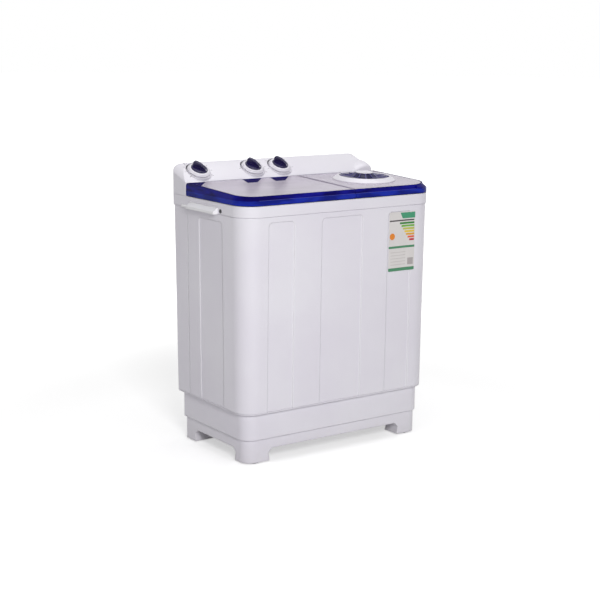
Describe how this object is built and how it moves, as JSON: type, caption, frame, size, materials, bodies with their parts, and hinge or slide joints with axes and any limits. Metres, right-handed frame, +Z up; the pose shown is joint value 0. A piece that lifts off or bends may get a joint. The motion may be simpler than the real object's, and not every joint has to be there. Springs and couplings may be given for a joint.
{
  "type": "twin tub washer",
  "caption": "Twin tub washer: a wash tub with a pulsator and a spin basket side by side in one cabinet, under two hinged lids and a rear control console.",
  "frame": {"origin": "on the floor, in the middle of the machine's plan", "axes": "+X to the right seen from the front, +Y to the back, +Z up"},
  "size_m": [0.784, 0.428, 0.9302],
  "materials": {
    "white_shell": "satin white moulding",
    "tub_white": "smooth white moulding",
    "navy_lid": "glossy translucent navy",
    "lilac_panel": "satin grey lilac",
    "navy_window": "glossy translucent navy",
    "navy_knob": "glossy dark navy",
    "steel": "zinc plated",
    "motor_metal": "cast and painted grey",
    "pulley_metal": "die cast",
    "black_rubber": "matte black",
    "grey_plastic": "matte grey"
  },
  "bodies": {
    "washer_body": {"base_frame": "white_shell", "foot_pads": "black_rubber", "cabinet": "white_shell", "back_cover": "white_shell", "top_frame": "white_shell", "carry_handle_left": "white_shell", "carry_handle_right": "white_shell", "wash_tub": "tub_white", "spin_tub": "tub_white", "hinge_pins": "steel", "control_console": "white_shell", "wash_timer": "grey_plastic", "drain_selector": "grey_plastic", "spin_timer": "grey_plastic", "water_inlets": "grey_plastic", "shaft_seal": "black_rubber", "wash_gearbox": "motor_metal", "wash_motor_bracket": "steel", "wash_motor": "motor_metal", "drive_belt": "black_rubber", "shaft_boot": "black_rubber", "spin_motor_plate": "steel", "spin_motor": "motor_metal", "spin_motor_mounts": "black_rubber", "drain_valve": "grey_plastic", "wash_drain_pipe": "grey_plastic", "spin_drain_pipe": "grey_plastic", "outlet_pipe": "grey_plastic", "lint_filter": "tub_white", "overflow_grille": "tub_white", "mains_gland": "black_rubber", "capacitor": "grey_plastic", "case_screws": "steel"},
    "wash_lid_body": {"wash_lid": "navy_lid", "wash_lid_panel": "lilac_panel"},
    "spin_lid_body": {"spin_lid": "navy_lid", "spin_lid_panel": "lilac_panel", "spin_window_ring": "white_shell", "spin_window": "navy_window"},
    "wash_timer_dial": {"wash_timer_skirt": "white_shell", "wash_timer_knob": "navy_knob"},
    "selector_dial": {"selector_skirt": "white_shell", "selector_knob": "navy_knob"},
    "spin_timer_dial": {"spin_timer_skirt": "white_shell", "spin_timer_knob": "navy_knob"},
    "pulsator_rotor": {"pulsator": "tub_white", "pulsator_cap": "tub_white", "pulsator_shaft": "steel"},
    "gearbox_input": {"gearbox_pulley": "pulley_metal"},
    "wash_motor_rotor": {"wash_motor_pulley": "pulley_metal"},
    "spin_rotor": {"spin_basket": "tub_white", "spin_shaft": "steel", "basket_nut": "steel", "spin_coupling": "steel", "brake_drum": "steel", "balance_ring": "tub_white"},
    "brake_arm": {"brake_lever": "steel"},
    "drain_slide": {"drain_plunger": "steel"}
  },
  "joints": [
    {"name": "wash_lid_hinge", "type": "hinge", "parent": "washer_body", "child": "wash_lid_body", "pos_m": [-0.171, 0.114, 0.856], "axis": [-1, 0, 0], "range_deg": [0, 92]},
    {"name": "spin_lid_hinge", "type": "hinge", "parent": "washer_body", "child": "spin_lid_body", "pos_m": [0.22, 0.114, 0.856], "axis": [-1, 0, 0], "range_deg": [0, 92]},
    {"name": "wash_timer_turn", "type": "hinge", "parent": "washer_body", "child": "wash_timer_dial", "pos_m": [-0.304, 0.1655, 0.8935], "axis": [0, -0.4848, 0.8746], "range_deg": [-330, 0]},
    {"name": "selector_turn", "type": "hinge", "parent": "washer_body", "child": "selector_dial", "pos_m": [-0.096, 0.1655, 0.8935], "axis": [0, -0.4848, 0.8746], "range_deg": [-90, 0]},
    {"name": "spin_timer_turn", "type": "hinge", "parent": "washer_body", "child": "spin_timer_dial", "pos_m": [0.012, 0.1655, 0.8935], "axis": [0, -0.4848, 0.8746], "range_deg": [-300, 0]},
    {"name": "pulsator_spin", "type": "hinge", "parent": "washer_body", "child": "pulsator_rotor", "pos_m": [-0.161, -0.04, 0.43], "axis": [0, 0, 1], "continuous": true},
    {"name": "gearbox_input_spin", "type": "hinge", "parent": "washer_body", "child": "gearbox_input", "pos_m": [-0.161, -0.04, 0.335], "axis": [0, 0, 1], "continuous": true},
    {"name": "wash_motor_spin", "type": "hinge", "parent": "washer_body", "child": "wash_motor_rotor", "pos_m": [0.02, 0.062, 0.335], "axis": [0, 0, 1], "continuous": true},
    {"name": "spin_basket_spin", "type": "hinge", "parent": "washer_body", "child": "spin_rotor", "pos_m": [0.212, -0.042, 0.45], "axis": [0, 0, 1], "continuous": true},
    {"name": "brake_turn", "type": "hinge", "parent": "washer_body", "child": "brake_arm", "pos_m": [0.212, 0.034, 0.36], "axis": [0, 0, 1], "range_deg": [0, 1.5]},
    {"name": "drain_lift", "type": "slide", "parent": "washer_body", "child": "drain_slide", "axis": [0, 0, 1], "range_m": [0, 0.012]}
  ],
  "couplings": [
    {"joint": "gearbox_input_spin", "follows": "pulsator_spin", "ratio": 3},
    {"joint": "wash_motor_spin", "follows": "pulsator_spin", "ratio": 12.571},
    {"joint": "brake_turn", "follows": "spin_lid_hinge", "ratio": 0.015},
    {"joint": "drain_lift", "follows": "selector_turn", "m_per_rad": -0.0075121}
  ]
}
